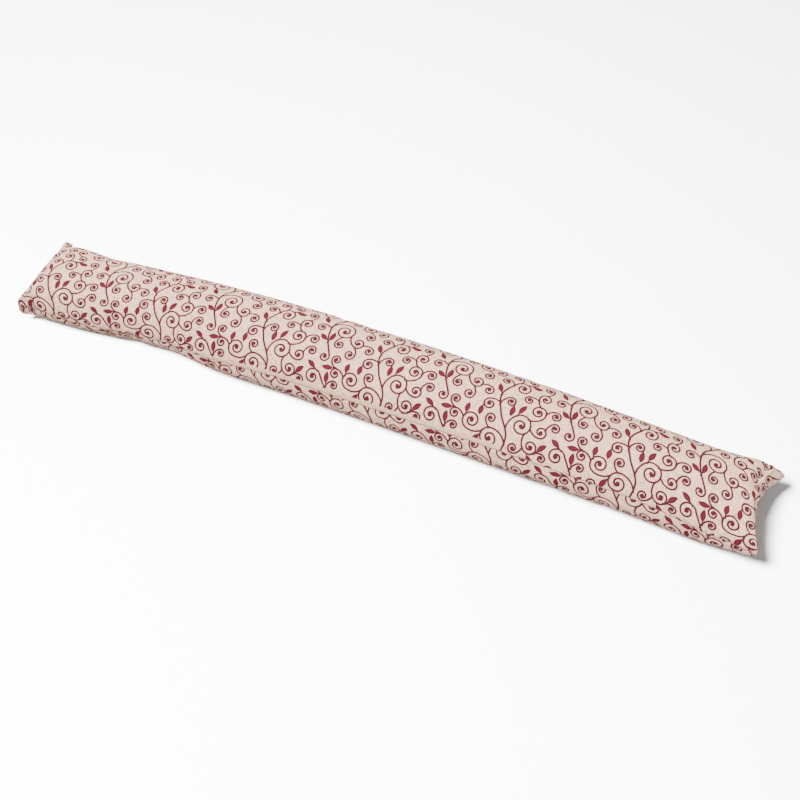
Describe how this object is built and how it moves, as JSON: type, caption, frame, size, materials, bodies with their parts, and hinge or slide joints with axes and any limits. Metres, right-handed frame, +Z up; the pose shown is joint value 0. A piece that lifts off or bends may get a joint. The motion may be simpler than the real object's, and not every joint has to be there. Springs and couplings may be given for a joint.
{
  "type": "draught excluder",
  "caption": "Long soft filled tube of printed linen cloth, sewn along its front and across both ends, that lies on the floor against the foot of a door.",
  "frame": {"origin": "on the floor below the middle of the tube's outline", "axes": "+X along the tube, +Y away from the long seam towards the back, +Z up"},
  "size_m": [0.9, 0.1296, 0.074],
  "materials": {
    "printed_linen": "natural linen cloth with an all-over crimson vine print, matt"
  },
  "bodies": {
    "root": {"filled_cover": "printed_linen"}
  },
  "joints": []
}
